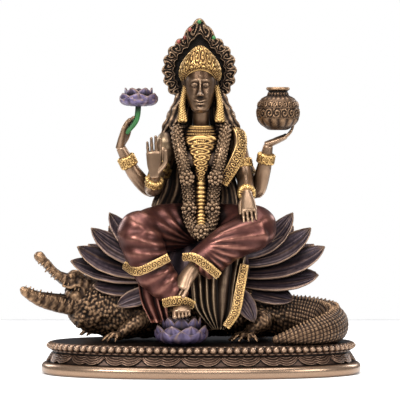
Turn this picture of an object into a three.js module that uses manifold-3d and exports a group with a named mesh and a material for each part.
// A small cast bronze-resin statuette: a four-armed river goddess sits on an open lotus, which a crocodile
// carries on its back, on an oval moulded plinth. The figure is one casting and the plinth is another.
// Millimetres, +Z up, the goddess faces -Y. The origin is the centre of the plinth's underside.
import * as THREE from "three";
import { mergeVertices } from "three/addons/utils/BufferGeometryUtils.js";
import Module from "manifold-3d";

const wasm = await Module();
wasm.setup();

// Driving dimensions of the plinth.
const PLINTH = { halfLength: 91, halfDepth: 48, height: 18, squareness: 2.25, leaves: 20, beads: 100 };
const DECK = PLINTH.height;

// The figure's lowest faces start this far above the deck, so that the two castings never share a face.
const SEAT_GAP = 0.3;

// The open lotus seat: each row of petals has its own reach and heights, and all are squeezed front to back.
const SEAT = { x: 0, y: 8, squeeze: 0.62, rootReach: 18 };
const PETAL_ROWS = [
  { reach: 53, tip: 91, root: 67, width: 15, angles: [6, 55, 125, 174] },
  { reach: 63, tip: 82.5, root: 63, width: 16, angles: [-4, 32, 90, 148, 184] },
  { reach: 71.5, tip: 72, root: 57, width: 17, angles: [-9, 24, 62, 118, 156, 189] },
  { reach: 69, tip: 57, root: 52, width: 16, angles: [-14, 16, 90, 164, 194] },
  { reach: 57, tip: 43, root: 48, width: 15, angles: [-20, 40, 140, 200] },
  { reach: 47, tip: 32, root: 50, width: 12, angles: [-42, 75, 105, 222] },
];

// Lotus under the goddess's foot, and the one in her raised hand.
const FOOT_LOTUS = { x: -11, y: -28, z: DECK + SEAT_GAP, radius: 14.5, height: 17, petals: 8 };
const HAND_LOTUS = { x: -35.5, y: 0, z: 152, radius: 10.5, height: 11.5, petals: 6 };

// Water pot: its axis and foot, and its outline as radius and height above the foot.
const POT = { x: 43.8, y: 0, z: 138.6, wellRadius: 4.2, wellDepth: 6 };
const POT_OUTLINE = [
  [5.2, 0],
  [9.6, 3.2],
  [11.8, 9.4],
  [11, 15.5],
  [7.6, 18.7],
  [5.5, 20.8],
  [6.5, 22.8],
  [6.5, 24.2],
];

// Halo behind the head.
const HALO = { x: -1, y: 9, z: 172.5, radius: 20.4, thickness: 4, scallops: 20, peak: 28.6 };

// Where surfaces cross, a join leaves needles and faces that are flat to nothing. These are their limits.
const SHORT_EDGE = 0.3;
const FLAT_FACE = 0.005;

const vec = (x, y, z) => new THREE.Vector3(x, y, z);
const degrees = THREE.MathUtils.degToRad;
const mix = THREE.MathUtils.lerp;
const turnOf = (i, count) => (2 * Math.PI * i) / count;

/** Turns a closed geometry into a solid, facing outwards whichever way its rings were listed. */
function solid(geometry) {
  const bare = new THREE.BufferGeometry();
  bare.setAttribute("position", geometry.getAttribute("position").clone());
  bare.setIndex(geometry.index);
  const merged = mergeVertices(bare, 1e-4);
  const vertProperties = merged.getAttribute("position").array;
  const triVerts = Uint32Array.from(merged.index.array);
  const made = new wasm.Manifold(new wasm.Mesh({ numProp: 3, vertProperties, triVerts }));
  if (made.volume() > 0) return made;
  const turned = triVerts.map((_, i) => triVerts[i - (i % 3) + ((3 - (i % 3)) % 3)]);
  return new wasm.Manifold(new wasm.Mesh({ numProp: 3, vertProperties, triVerts: turned }));
}

/** Joins a list of solids, two by two. */
function fuse(solids) {
  if (solids.length === 1) return solids[0];
  const pairs = [];
  for (let i = 0; i < solids.length; i += 2)
    pairs.push(i + 1 < solids.length ? solids[i].add(solids[i + 1]) : solids[i]);
  return fuse(pairs);
}

/** Faces between two rings that may have different numbers of points: whichever lags behind steps on. */
function zip(faces, startA, countA, startB, countB) {
  const edgesA = countA > 1 ? countA : 0;
  const edgesB = countB > 1 ? countB : 0;
  let a = 0;
  let b = 0;
  while (a < edgesA || b < edgesB) {
    const [pointA, pointB] = [startA + (a % countA), startB + (b % countB)];
    if (b >= edgesB || (a < edgesA && (a + 0.5) / edgesA <= (b + 0.5) / edgesB)) {
      a += 1;
      faces.push(pointA, startA + (a % countA), pointB);
    } else {
      b += 1;
      faces.push(pointA, startB + (b % countB), pointB);
    }
  }
}

/** A closed body through rings of points. A ring of one point is a tip; other ends get a fan about their middle. */
function loft(rings) {
  const points = rings.flat();
  const faces = [];
  let start = 0;
  for (let r = 0; r + 1 < rings.length; r += 1) {
    const next = start + rings[r].length;
    zip(faces, start, rings[r].length, next, rings[r + 1].length);
    start = next;
  }
  const cap = (ring, first, order) => {
    if (ring.length === 1) return;
    const middle = points.push(ring.reduce((sum, p) => sum.add(p), vec(0, 0, 0)).divideScalar(ring.length)) - 1;
    ring.forEach((_, i) => faces.push(middle, ...order([first + i, first + ((i + 1) % ring.length)])));
  };
  cap(rings[0], 0, (pair) => pair.reverse());
  cap(rings.at(-1), start, (pair) => pair);
  const geometry = new THREE.BufferGeometry().setFromPoints(points);
  geometry.setIndex(faces);
  return solid(geometry);
}

/** Half sizes at share t of a path, between the given pairs. */
function sizeAt(sizes, t) {
  const place = t * (sizes.length - 1);
  const i = Math.min(Math.floor(place), sizes.length - 2);
  return [0, 1].map((k) => mix(sizes[i][k], sizes[i + 1][k], place - i));
}

/**
 * A round or flattened limb along a smooth path. Sizes are [half across, half along "up"], the first point of
 * each ring is on the "up" side, and relief(t, angle, station) scales the radius.
 */
function limb(path, sizes, { steps = 4, sides = 6, up = vec(0, 0, 1), relief = () => 1, pointed = false } = {}) {
  const curve = new THREE.CatmullRomCurve3(
    path.map(([x, y, z]) => vec(x, y, z)),
    false,
    "centripetal",
  );
  const rings = Array.from({ length: steps + 1 }, (_, station) => {
    const t = station / steps;
    const centre = curve.getPoint(t);
    if (pointed && station === steps) return [centre];
    const along = curve.getTangent(t);
    const across = along.clone().cross(up).normalize();
    const over = across.clone().cross(along).normalize();
    const [a, b] = sizeAt(sizes, t);
    return Array.from({ length: sides }, (_, i) => {
      const angle = Math.PI / 2 + turnOf(i, sides);
      const grow = relief(t, angle, station);
      return centre
        .clone()
        .addScaledVector(across, a * grow * Math.cos(angle))
        .addScaledVector(over, b * grow * Math.sin(angle));
    });
  });
  return loft(rings);
}

/** Upright ovals one above the other, each given as [height, middle y, half width, half depth]. */
function stack(x, rows, sides) {
  return loft(
    rows.map(([z, y, a, b]) =>
      Array.from({ length: sides }, (_, i) =>
        vec(x + a * Math.cos(turnOf(i, sides)), y + b * Math.sin(turnOf(i, sides)), z),
      ),
    ),
  );
}

/** A ball or egg. */
function egg(x, y, z, a, b, c, sides = 6, rows = 4) {
  const geometry = new THREE.SphereGeometry(1, sides, rows);
  return solid(geometry.rotateX(Math.PI / 2).scale(a, b, c).translate(x, y, z));
}

/** A petal: a boat with a keel, widest past its middle, its edges raised, running out to a point. */
function petal(root, bend, tip, width, thickness = 2.4) {
  const facing = vec(0, -0.45, 0.9);
  const curve = new THREE.QuadraticBezierCurve3(root, bend, tip);
  const stations = [
    [0, 0.45],
    [0.45, 0.95],
    [0.78, 0.8],
  ];
  const rings = stations.map(([t, share]) => {
    const centre = curve.getPoint(t);
    const along = curve.getTangent(t);
    const across = along.clone().cross(facing).normalize();
    const over = across.clone().cross(along).normalize();
    const half = (width / 2) * share;
    const at = (u, h) => centre.clone().addScaledVector(across, u * half).addScaledVector(over, h);
    return [at(1, 0.3 * half), at(0, thickness / 2), at(-1, 0.3 * half), at(0, -thickness / 2)];
  });
  return loft([...rings, [tip]]);
}

/** Points at equal distances round the plinth's oval outline, pushed out by offset(index). */
function ovalRing(z, count, offset) {
  const fine = 720;
  const power = (value) => Math.sign(value) * Math.abs(value) ** (2 / PLINTH.squareness);
  const outline = Array.from({ length: fine + 1 }, (_, i) => {
    const [cos, sin] = [Math.cos(turnOf(i, fine)), Math.sin(turnOf(i, fine))];
    return new THREE.Vector2(PLINTH.halfLength * power(cos), PLINTH.halfDepth * power(sin));
  });
  const lengths = [0];
  for (let i = 1; i <= fine; i += 1) lengths.push(lengths[i - 1] + outline[i].distanceTo(outline[i - 1]));
  return Array.from({ length: count }, (_, k) => {
    const wanted = (k / count) * lengths[fine];
    const i = lengths.findIndex((length) => length > wanted) - 1;
    const along = outline[i + 1].clone().sub(outline[i]);
    const point = outline[i].clone().addScaledVector(along, (wanted - lengths[i]) / along.length());
    const out = new THREE.Vector2(along.y, -along.x).normalize();
    point.addScaledVector(out, offset(k));
    return vec(point.x, point.y, z);
  });
}

/** The plinth: a plain round-edged foot, a sloping band of leaves, a groove, and a beaded edge under the deck. */
function plinth() {
  const even = (z, out, count = 2 * PLINTH.leaves) => ovalRing(z, count, () => out);
  const leafy = (z, out, swell) => ovalRing(z, 4 * PLINTH.leaves, (k) => out + swell * [0, 1, 0.7, 1][k % 4]);
  return loft([
    even(0, -1.8),
    even(1.8, 0),
    even(5, 0),
    even(6.4, -1.2),
    leafy(6.9, -3.4, 2.2),
    leafy(9.4, -5.6, 2.4),
    even(12.2, -6.6, PLINTH.beads),
    ovalRing(15.3, 2 * PLINTH.beads, (k) => (k % 2 ? -4.1 : -2.6)),
    even(DECK, -4.2, PLINTH.beads),
  ]);
}

/** The lotus that the goddess sits on, with its solid heart. */
function seat() {
  const heart = stack(
    SEAT.x,
    [
      [40, SEAT.y, 14, 10],
      [50, SEAT.y, 27, 20],
      [67, SEAT.y, 26, 20],
      [76, SEAT.y, 17, 13],
    ],
    10,
  );
  const petals = PETAL_ROWS.flatMap(({ reach, tip, root, width, angles }) =>
    angles.map((angle) => {
      const [cos, sin] = [Math.cos(degrees(angle)), Math.sin(degrees(angle))];
      const at = (radius, z) => vec(SEAT.x + radius * cos, SEAT.y + radius * sin * SEAT.squeeze, z);
      const bend = at(mix(SEAT.rootReach, reach, 0.62), mix(root, tip, 0.18) - 2);
      return petal(at(SEAT.rootReach, root), bend, at(reach, tip), width);
    }),
  );
  return [heart, ...petals];
}

/** A small lotus: a cup whose two tiers of petals stand out as points, the upper tier between the lower. */
function bloom({ x, y, z, radius, height, petals }) {
  const ring = (count, shape) =>
    Array.from({ length: count }, (_, i) => {
      const [reach, rise] = shape(i % 2);
      const angle = turnOf(i, count);
      return vec(x + reach * radius * Math.cos(angle), y + reach * radius * Math.sin(angle), z + rise * height);
    });
  const both = 2 * petals;
  return loft([
    ring(petals, () => [0.5, 0]),
    ring(both, (valley) => (valley ? [0.66, 0.22] : [0.84, 0.16])),
    ring(both, (valley) => (valley ? [0.7, 0.34] : [1, 0.6])),
    ring(both, (tip) => (tip ? [0.76, 0.48] : [0.58, 0.46])),
    ring(both, (tip) => (tip ? [0.74, 0.95] : [0.52, 0.56])),
    ring(petals, () => [0.4, 0.74]),
  ]);
}

// Where each leg of the crocodile bends, and which way its toes point.
const CROC_LEGS = [
  { hip: [-46, 4, 36], elbow: [-36, -10, 30], wrist: [-46, -13, 22.5], heading: 196 },
  { hip: [-48, 20, 34], elbow: [-42, 33, 29], wrist: [-60, 30, 22.5], heading: 175 },
  { hip: [26, 4, 32], elbow: [34, -8, 30], wrist: [26, -10, 22.5], heading: 245 },
  { hip: [30, 20, 32], elbow: [42, 33, 28], wrist: [34, 35, 22], heading: 128 },
];

/** A crocodile's leg, ending in a flat paw with four spread toes. */
function crocodileLeg({ hip, elbow, wrist, heading }) {
  const sizes = [
    [6.6, 6.6],
    [4.8, 5],
    [3.2, 3.2],
  ];
  const leg = limb([hip, elbow, wrist], sizes, { steps: 3, up: vec(0.2, 1, 0.1) });
  const spread = [150, 60, 44, 30, 15, 0, -15, -30, -44, -60, -150];
  const paw = [
    [DECK + SEAT_GAP, 1],
    [DECK + SEAT_GAP + 1.4, 0.92],
    [DECK + SEAT_GAP + 4, 0.34],
  ].map(([z, share]) =>
    spread.map((angle, i) => {
      const reach = share * (i > 0 && i < 10 ? [6, 10.5][i % 2] : 4);
      const turn = degrees(heading + angle);
      return vec(wrist[0] + reach * Math.cos(turn), wrist[1] + reach * Math.sin(turn), z);
    }),
  );
  return [leg, loft(paw)];
}

/** The crocodile: body and curled tail in one sweep, gaping jaws with jagged teeth, eyes and legs. */
function crocodile() {
  const ridge = (t, angle, station) => (Math.cos(angle - Math.PI / 2) > 0.99 && station % 2 ? 1.2 : 1);
  const body = limb(
    [
      [-76, 7, 43],
      [-66, 8, 38.6],
      [-52, 10, 36.6],
      [-10, 11, 37],
      [26, 12, 36],
      [48, 12, 31.5],
      [62, 10, 30],
      [72, 4, 29],
      [75.6, -7, 27.6],
      [72, -18, 26],
      [63, -27, 24.5],
      [52, -31.5, 22.4],
      [41, -33, 20.6],
    ],
    [
      [6, 6],
      [10.6, 13.6],
      [14, 16.4],
      [18, 17],
      [16, 15.5],
      [13, 12],
      [11, 11.5],
      [8.8, 10.6],
      [7.8, 9.2],
      [7.2, 7.8],
      [6, 6.2],
      [4.2, 4.4],
      [1.4, 2],
    ],
    { steps: 24, sides: 8, relief: ridge, pointed: true },
  );
  const jagged = (side) => (t, angle, station) => (side * Math.sin(angle) < -0.4 && station % 2 ? 0.72 : 1);
  const upperJaw = limb(
    [
      [-62, 8, 47],
      [-71.5, 6, 51.5],
      [-81, 3, 55],
      [-89, 1, 61],
      [-95.5, -1, 66.5],
    ],
    [
      [8, 6],
      [8, 5.6],
      [5.2, 3.8],
      [4.2, 3.2],
      [4, 3.6],
    ],
    { steps: 9, relief: jagged(1) },
  );
  const lowerJaw = limb(
    [
      [-62, 8, 39],
      [-73, 5, 39.5],
      [-84, 1, 42],
      [-95, -2, 45.5],
      [-103, -4, 48.5],
    ],
    [
      [9.5, 8],
      [7.5, 6],
      [5.2, 3.8],
      [4.2, 2.8],
      [2.4, 2],
    ],
    { steps: 9, relief: jagged(-1) },
  );
  const eyes = [1, 11].map((y) => egg(-72.5, y, 57, 3, 2.6, 2.6, 5, 3));
  return [body, upperJaw, lowerJaw, ...eyes, ...CROC_LEGS.flatMap(crocodileLeg)];
}

/** A hanging cloth panel, pleated in front and solid behind. Its rows are [left, right, front, height]. */
function drape(rows, pleats, depth, thickness) {
  const points = 2 * pleats + 1;
  return loft(
    rows.map(([left, right, front, z]) => {
      const face = Array.from({ length: points }, (_, i) =>
        vec(mix(left, right, i / (points - 1)), front + (i % 2 ? depth : 0), z),
      );
      return [...face, vec(right, front + thickness, z), vec(left, front + thickness, z)];
    }),
  );
}

/**
 * Fingers or toes on one flat slab, cut out between them, then bent towards the palm and set in place. The outline
 * is in the slab's own millimetres: x across, y along the fingers, z out of the palm.
 */
function digits(outline, thickness, bendFrom, curl, place) {
  const shape = new THREE.Shape(outline.map(([x, y]) => new THREE.Vector2(x, y)));
  const slab = new THREE.ExtrudeGeometry(shape, { depth: thickness, bevelEnabled: false });
  const points = slab.getAttribute("position");
  for (let i = 0; i < points.count; i += 1) {
    const point = vec(points.getX(i), points.getY(i), points.getZ(i) - thickness / 2);
    const past = Math.max(0, point.y - bendFrom);
    const angle = past * curl + 1e-6;
    const [sin, cos] = [Math.sin(angle), Math.cos(angle)];
    point.y += (past * sin) / angle - past - point.z * sin;
    point.z = (past * (1 - cos)) / angle + point.z * cos;
    points.setXYZ(i, ...point.applyMatrix4(place));
  }
  return solid(mergeVertices(slab.deleteAttribute("normal").deleteAttribute("uv"), 1e-4));
}

/** The tips and gaps of a row of fingers or toes, each given as its middle, its half width and its tip. */
const row = (list, root) =>
  list.flatMap(([x, half, tip], i) => [
    [x + half, tip - 0.5],
    [x - half, tip],
    ...(i + 1 < list.length ? [[(x - half + list[i + 1][0] + list[i + 1][1]) / 2, root]] : []),
  ]);

/** A frame at a point with y along the fingers and z as near as may be to the given facing. */
function frameAt(origin, along, facing, size = 1) {
  const forward = along.clone().normalize();
  const across = forward.clone().cross(facing).normalize();
  const outward = across.clone().cross(forward).normalize();
  return new THREE.Matrix4()
    .makeBasis(across, forward, outward)
    .scale(vec(size, size, size))
    .setPosition(...origin);
}

/** A bare foot from the ankle to the toes; the instep faces "up", and big is the side of the big toe. */
function foot(ankle, arch, ball, up, big) {
  const sizes = [
    [4, 4.4],
    [4.6, 3.4],
    [5, 2],
  ];
  const sole = limb([ankle, arch, ball], sizes, { steps: 3, up });
  const along = vec(...ball).sub(vec(...arch));
  const toes = [
    [4, 1.3, 5.6],
    [1.6, 0.9, 5.4],
    [-0.4, 0.9, 4.9],
    [-2.3, 0.85, 4.2],
    [-4.1, 0.8, 3.4],
  ];
  const outline = [[5, -3], ...row(toes, 2.2), [-4.6, -3]].map(([x, y]) => [x * big, y]);
  return [sole, digits(outline, 2.6, 2, -0.06, frameAt(ball, along, up))];
}

/** Both clothed legs, their hems, the hanging cloth and the feet. */
function legs() {
  const forward = vec(0, -1, 0);
  const folds = (height) => (t, angle, station) => 1 + (station % 2 ? height : -height) * Math.sin(angle);
  const rightThigh = limb(
    [
      [-6, 9, 83],
      [-21, -8, 83],
      [-35, -24, 79.5],
    ],
    [
      [16, 13.5],
      [15, 13.5],
      [11.5, 13],
    ],
    { steps: 5, sides: 9 },
  );
  const rightShin = limb(
    [
      [-34, -26, 78],
      [-28, -30, 62],
      [-12.5, -31, 44],
    ],
    [
      [12, 12],
      [11.5, 10],
      [7.2, 7],
    ],
    { steps: 6, sides: 8, up: forward, relief: folds(0.06) },
  );
  const leftThigh = limb(
    [
      [6, 9, 83],
      [20, -6, 84],
      [31, -18, 84.5],
    ],
    [
      [16, 13.5],
      [14, 12.5],
      [11.5, 12],
    ],
    { steps: 4, sides: 9 },
  );
  const leftShin = limb(
    [
      [31, -21, 82],
      [15, -28, 75],
      [0, -30, 63],
    ],
    [
      [11, 11.5],
      [10.5, 10.5],
      [10, 8.5],
    ],
    { steps: 7, sides: 8, up: forward, relief: folds(0.06) },
  );
  const knees = [egg(-35, -24.5, 80, 12.4, 12, 13.8, 8, 5), egg(30.5, -19, 84, 12.4, 12, 12.4, 8, 5)];
  const hem = (from, to, size) => limb([from, to], [size, size], { steps: 1, sides: 8, up: forward });
  const hems = [
    hem([2, -30, 65.4], [-0.6, -30.4, 61], [11.2, 9.8]),
    hem([-14, -31, 46.5], [-11.4, -31.2, 42], [8.4, 8.2]),
  ];
  const pleats = drape(
    [
      [-7, 25.5, -19, 67],
      [-6, 22.5, -23.5, 52],
      [-3.5, 20, -25.5, 38],
      [6, 13.5, -26, 26.5],
    ],
    4,
    2.2,
    15,
  );
  const sideCloth = drape(
    [
      [-36, -24, -28, 64],
      [-34, -20, -30, 44],
      [-28, -17.5, -30, 30.5],
    ],
    3,
    1.8,
    7,
  );
  return [
    rightThigh,
    rightShin,
    leftThigh,
    leftShin,
    ...knees,
    ...hems,
    pleats,
    sideCloth,
    ...foot([-12, -31, 46], [-11, -36, 40.5], [-10.8, -41, 37.6], vec(0, -0.6, 1), 1),
    ...foot([-1.5, -30, 64], [-7.6, -33, 57], [-11.2, -36, 51], vec(-0.5, -0.85, 0.2), -1),
  ];
}

function trunk() {
  const body = stack(
    0,
    [
      [72, 9, 13, 10],
      [84, 9, 15.5, 11],
      [103, 6, 9.6, 7],
      [115, 4, 11.4, 8],
      [124, 3, 13.4, 8.6],
      [132, 4, 17, 7.4],
      [137.4, 4.5, 13, 6],
      [141, 4, 5.4, 5],
      [152, 1.5, 4.8, 4.8],
    ],
    10,
  );
  const shoulders = [-1, 1].map((side) => egg(side * 19.5, 4, 131, 6.2, 6.4, 7));
  const breasts = [-1, 1].map((side) => egg(side * 6.2, -4.5, 121.5, 6, 6, 6));
  return [body, ...shoulders, ...breasts];
}

function head() {
  const skull = stack(
    -0.5,
    [
      [148.6, -3.6, 2.6, 2.6],
      [150.8, -2.2, 5.2, 5.6],
      [155, -0.8, 7.2, 8],
      [161, 0, 8.2, 9.4],
      [168, 0.4, 8.4, 9.6],
      [176, 1, 5.6, 6.6],
    ],
    12,
  );
  const nose = limb(
    [
      [-0.5, -8.4, 164.5],
      [-0.5, -9.8, 161],
      [-0.5, -10.6, 158.4],
    ],
    [
      [0.9, 0.8],
      [1.1, 1],
      [2, 1.2],
    ],
    { steps: 2, sides: 5, up: vec(0, -1, 0.2) },
  );
  return [skull, nose, egg(-0.5, 4, 166, 10.4, 8.6, 12, 8, 5)];
}

/** The diadem: it arches over the forehead, swells, and draws in to a lobed top that is tallest in front. */
function diadem() {
  const sides = 14;
  const ring = (half, deep, z) =>
    Array.from({ length: sides }, (_, i) => {
      const [cos, sin] = [Math.cos(turnOf(i, sides)), Math.sin(turnOf(i, sides))];
      return vec(-0.5 + half * cos, 1.5 + deep * sin, z((1 - sin) / 2, i % 2));
    });
  return loft([
    ring(8.8, 10.4, (front) => 159 + 14.5 * front),
    ring(11.6, 12.2, (front) => 165 + 10 * front),
    ring(10, 10.6, (front, gap) => 171.5 + 9 * front - 1.6 * gap),
    ring(5.4, 7, (front, gap) => 176 + 9.5 * front - 1.8 * gap),
  ]);
}

/** The halo: a scalloped oval plate that rises to a lobed point. */
function halo() {
  const points = 2 * HALO.scallops;
  const outline = Array.from({ length: points }, (_, i) => {
    const fromTop = Math.min(turnOf(i, points), turnOf(points - i, points)) / degrees(17);
    const crest = (HALO.peak - HALO.radius) * Math.exp(-(fromTop ** 2));
    const radius = HALO.radius + crest + (i % 2 ? 0 : 1.6);
    const angle = Math.PI / 2 + turnOf(i, points);
    return new THREE.Vector2(radius * Math.cos(angle), radius * Math.sin(angle));
  });
  const plate = new THREE.ExtrudeGeometry(new THREE.Shape(outline), {
    depth: HALO.thickness,
    bevelEnabled: false,
  });
  return solid(plate.rotateX(Math.PI / 2).translate(HALO.x, HALO.y + HALO.thickness, HALO.z));
}

/** Hair: a long fall down the back, and curls that come forward over both shoulders. */
function hair() {
  const fall = limb(
    [
      [0, 12, 168],
      [0, 14.5, 145],
      [-1, 15, 118],
      [-2, 13, 94],
    ],
    [
      [11, 5.5],
      [14, 5.5],
      [19, 6],
      [26, 5.5],
    ],
    { steps: 5, sides: 12, up: vec(0, 1, 0), relief: (t, angle) => 1 + 0.07 * Math.cos(6 * angle) },
  );
  const paths = [
    [
      [11.5, 4, 156],
      [14, 2.5, 149],
      [15.5, 1, 141],
    ],
    [
      [12, 8, 152],
      [16.6, 6, 145],
      [20.4, 4, 136],
    ],
  ];
  const sizes = [
    [3.2, 3.2],
    [3.6, 3.2],
    [2.6, 2.4],
  ];
  const waves = (t, angle, station) => (station % 2 ? 1.15 : 0.9);
  const curls = [-1, 1].flatMap((side) =>
    paths.map((path) =>
      limb(
        path.map(([x, y, z]) => [side * x, y, z]),
        sizes,
        { steps: 4, sides: 5, relief: waves },
      ),
    ),
  );
  return [fall, ...curls];
}

// A hand's fingers from the index to the little finger: middle, half width and tip.
const FINGERS = [
  [3.6, 1, 19.4],
  [1.25, 1.05, 20.8],
  [-1.15, 1, 20],
  [-3.4, 0.9, 17.8],
];

/** A hand: a rounded palm with thumb and fingers; curl bends the fingers towards the palm, in radians a millimetre. */
function hand({ wrist, along, palm, curl, thumb = 7, size = 1, mirror = 1 }) {
  const place = frameAt(wrist, along, palm, size);
  const middle = limb(
    [
      [0, -1, 0],
      [0, 4, 0],
      [0, 11, 0],
    ],
    [
      [2.5, 2.4],
      [3.9, 2.2],
      [4.4, 1.7],
    ],
    { steps: 2 },
  );
  const thumbSide = [
    [2.4, 0],
    [thumb - 1.4, 5],
    [thumb, 9],
    [thumb - 0.6, 12.6],
    [thumb - 2, 12.4],
    [4.4, 9],
  ];
  const outline = [...thumbSide, ...row(FINGERS, 10.4), [-4.4, 8], [-2.4, 0]].map(([x, y]) => [x * mirror, y]);
  return [middle.transform(place.toArray()), digits(outline, 2.2, 9.5, curl, place)];
}

// The four arms, each from the shoulder over the elbow to the wrist.
const ARM_PATHS = {
  raisedRight: [
    [-19, 4, 131],
    [-24, 2, 118],
    [-27.5, -1, 106.5],
    [-27.5, -9, 106],
    [-25.6, -16, 113.5],
  ],
  lotusRight: [
    [-17, 7, 130],
    [-23, 11, 115],
    [-28, 10, 104.5],
    [-37.5, 6, 113],
    [-45.6, 3, 128],
  ],
  kneeLeft: [
    [20, 4, 131],
    [23.4, 4, 119],
    [25, 0, 109.5],
    [25.6, -9, 104],
    [26, -20, 102.4],
  ],
  potLeft: [
    [18, 7, 130],
    [25, 11, 114],
    [31.5, 9, 103.5],
    [35.5, 5, 115],
    [38.2, 2, 129],
  ],
};

/** All four arms, each with an armlet, a bracelet and a hand. */
function arms() {
  const sizes = [
    [5.6, 5.6],
    [4.9, 4.9],
    [4.6, 4.6],
    [4.3, 4.3],
    [2.8, 2.8],
  ];
  const bands = (t, angle, station) => ({ 2: 1.18, 7: 1.3 })[station] ?? 1;
  const options = { steps: 8, up: vec(0.1, 1, 0.2), relief: bands };
  return [
    ...Object.values(ARM_PATHS).map((path) => limb(path, sizes, options)),
    ...hand({ wrist: [-26, -17.5, 114], along: vec(-0.04, -0.05, 1), palm: vec(-0.15, -1, 0), curl: 0.012, size: 1.06 }),
    ...hand({ wrist: [-46, 3, 129.5], along: vec(0.3, -0.1, 1), palm: vec(1, -0.4, -0.3), curl: 0.08, thumb: 5.4 }),
    ...hand({
      wrist: [26, -20.5, 102],
      along: vec(0.1, -0.7, -0.8),
      palm: vec(0, 0.8, -0.6),
      curl: 0.05,
      thumb: 5.6,
      mirror: -1,
    }),
    ...hand({
      wrist: [38.6, 2, 130.5],
      along: vec(1, -0.05, 0.42),
      palm: vec(-0.35, 0, 1),
      curl: 0.09,
      thumb: 5.8,
      mirror: -1,
      size: 0.9,
    }),
  ];
}

/** The flower garland: down both sides of the chest to a point in the lap. */
function garland() {
  const strand = [
    [-8, 8, 137],
    [-13.6, 0, 140],
    [-12.2, -8.4, 129],
    [-10, -10.4, 119],
    [-7, -9.6, 102],
    [-6.4, -17.5, 88],
    [0, -24, 79.5],
  ];
  const mirrored = strand.slice(0, -1).reverse();
  const size = [3.4, 3.2];
  const flowers = (t, angle, station) => (station % 2 ? 1.14 : 0.88);
  return limb([...strand, ...mirrored.map(([x, y, z]) => [-x, y, z])], [size, size], {
    steps: 24,
    sides: 5,
    up: vec(0, -1, 0.1),
    relief: flowers,
  });
}

/** Rosettes on the garland, collar, necklace plate, pendant chain, ear chains and the shawl's edge. */
function ornaments() {
  const up = vec(0, -1, 0);
  const rosettes = [
    [-8, -13, 111.5],
    [8, -13, 111.5],
    [-6.8, -17, 94],
    [6.4, -17, 94],
    [0, -27.4, 82],
  ].map(([x, y, z]) => {
    const sizes = [
      [3.8, 3.8],
      [3, 3],
    ];
    return limb([[x, y + 3, z], [x, y, z]], sizes, { steps: 1 });
  });
  const collar = stack(
    0,
    [
      [131, 0.5, 10.5, 9.6],
      [140.4, 2.6, 6.4, 6],
    ],
    12,
  );
  const plate = limb(
    [
      [0, -7, 133],
      [0, -10, 122],
      [0, -10.4, 109],
    ],
    [
      [8.4, 1.6],
      [4.8, 1.8],
      [1.5, 1.6],
    ],
    { steps: 3, up },
  );
  const chain = limb(
    [
      [0, -9.6, 111],
      [0, -11, 98],
      [0, -18, 88],
      [0, -25, 82.5],
    ],
    [
      [2, 1.8],
      [2.7, 2.2],
      [1.8, 1.6],
    ],
    { steps: 5, sides: 4, up },
  );
  const earChains = [-1, 1].map((side) =>
    limb(
      [
        [side * 8.6, 1, 163],
        [side * 10.6, -2, 153],
        [side * 10.6, -3, 144],
      ],
      [
        [1.6, 1.6],
        [1.7, 1.6],
        [2.9, 1.8],
      ],
      { steps: 3, sides: 4, up },
    ),
  );
  const shawl = limb(
    [
      [16, 8, 139.5],
      [21.5, 1, 137.5],
      [22.6, -4.5, 130],
      [19.5, -8, 121],
      [12, -10, 108],
    ],
    [
      [4.4, 1.8],
      [4.6, 1.8],
      [4.2, 1.8],
      [3.8, 1.6],
      [3.2, 1.4],
    ],
    { steps: 5, sides: 4, up: vec(0.8, -0.8, 0.3) },
  );
  return [...rosettes, collar, plate, chain, ...earChains, shawl];
}

/** The water pot, and the shallow well of its mouth, which is cut out of it. */
function waterPot() {
  const mouth = POT_OUTLINE.at(-1)[1];
  const outline = [[0, 0], ...POT_OUTLINE, [0, mouth]].map(([r, h]) => new THREE.Vector2(r, h));
  const place = (geometry, z) => solid(geometry.rotateX(Math.PI / 2).translate(POT.x, POT.y, z));
  const body = place(new THREE.LatheGeometry(outline, 12), POT.z);
  const drill = new THREE.CylinderGeometry(POT.wellRadius, POT.wellRadius, 2 * POT.wellDepth, 12);
  return { body, well: place(drill, POT.z + mouth) };
}

/** Closes up the short edges that a join leaves where two surfaces cross, and drops the faces that they bound. */
function closeShortEdges(points, faces) {
  const around = points.map(() => new Set());
  faces.forEach((corners) => corners.forEach((a) => corners.filter((b) => b !== a).forEach((b) => around[a].add(b))));
  const into = new Map();
  const settled = new Set();
  faces.forEach((corners) =>
    corners.forEach((a, k) => {
      const b = corners[(k + 1) % 3];
      if (settled.has(a) || settled.has(b) || points[a].distanceTo(points[b]) > SHORT_EDGE) return;
      if ([...around[a]].filter((i) => around[b].has(i)).length !== 2) return;
      into.set(b, a);
      [a, b, ...around[a], ...around[b]].forEach((i) => settled.add(i));
    }),
  );
  return faces.map((corners) => corners.map((i) => into.get(i) ?? i)).filter(([a, b, c]) => a !== b && b !== c && c !== a);
}

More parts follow.
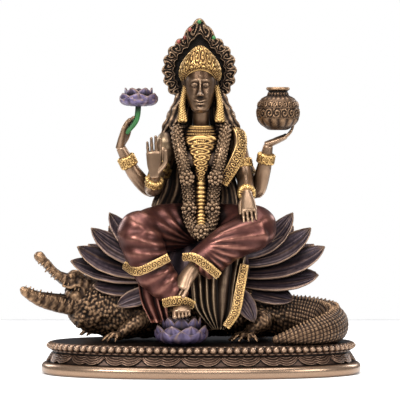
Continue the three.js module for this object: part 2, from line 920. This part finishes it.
/** Turns the long edge of each face that is flat to nothing, so that its middle corner splits the neighbour. */
function turnFlatFaces(points, faces) {
  const edges = new Map();
  const note = (face) => faces[face].forEach((a, k) => edges.set(`${a} ${faces[face][(k + 1) % 3]}`, face));
  faces.forEach((_, face) => note(face));
  faces.forEach((corners, face) => {
    const lengths = corners.map((a, k) => points[a].distanceTo(points[corners[(k + 1) % 3]]));
    const long = lengths.indexOf(Math.max(...lengths));
    const [a, b, c] = [0, 1, 2].map((k) => corners[(long + k) % 3]);
    const height = new THREE.Triangle(points[a], points[b], points[c]).getArea() / lengths[long];
    const other = edges.get(`${b} ${a}`);
    if (height > FLAT_FACE || other === undefined) return;
    const d = faces[other].find((corner) => corner !== a && corner !== b);
    if (edges.has(`${c} ${d}`) || edges.has(`${d} ${c}`)) return;
    faces[face] = [a, d, c];
    faces[other] = [d, b, c];
    edges.delete(`${a} ${b}`);
    edges.delete(`${b} ${a}`);
    [face, other].forEach(note);
  });
  return faces;
}

/** A named mesh of a finished solid. */
function piece(name, made, color, roughness, metalness) {
  const { vertProperties, triVerts } = made.getMesh();
  const points = Array.from({ length: vertProperties.length / 3 }, (_, i) =>
    vec(...vertProperties.slice(3 * i, 3 * i + 3)),
  );
  let faces = Array.from({ length: triVerts.length / 3 }, (_, i) => [...triVerts.slice(3 * i, 3 * i + 3)]);
  for (let round = 0; round < 6; round += 1) faces = turnFlatFaces(points, closeShortEdges(points, faces));
  const geometry = new THREE.BufferGeometry().setFromPoints(points);
  geometry.setIndex(faces.flat());
  const mesh = new THREE.Mesh(geometry, new THREE.MeshStandardMaterial({ color, roughness, metalness }));
  mesh.name = name;
  return mesh;
}

const pot = waterPot();
const stem = limb(
  [
    [-42.5, 1, 137],
    [-37, 0, 144],
    [-35.5, 0, 154],
  ],
  [
    [1.6, 1.6],
    [1.8, 1.8],
  ],
  { steps: 2, up: vec(0, 1, 0) },
);
const figure = fuse([
  ...crocodile(),
  ...seat(),
  bloom(FOOT_LOTUS),
  ...legs(),
  ...trunk(),
  ...head(),
  diadem(),
  halo(),
  ...hair(),
  ...arms(),
  garland(),
  ...ornaments(),
  stem,
  bloom(HAND_LOTUS),
  pot.body,
]).subtract(pot.well);

const group = new THREE.Group();
group.add(piece("plinth", plinth(), 0x6b4c38, 0.38, 0.85));
group.add(piece("goddess_on_crocodile", figure, 0x5d4233, 0.4, 0.85));

export default group;
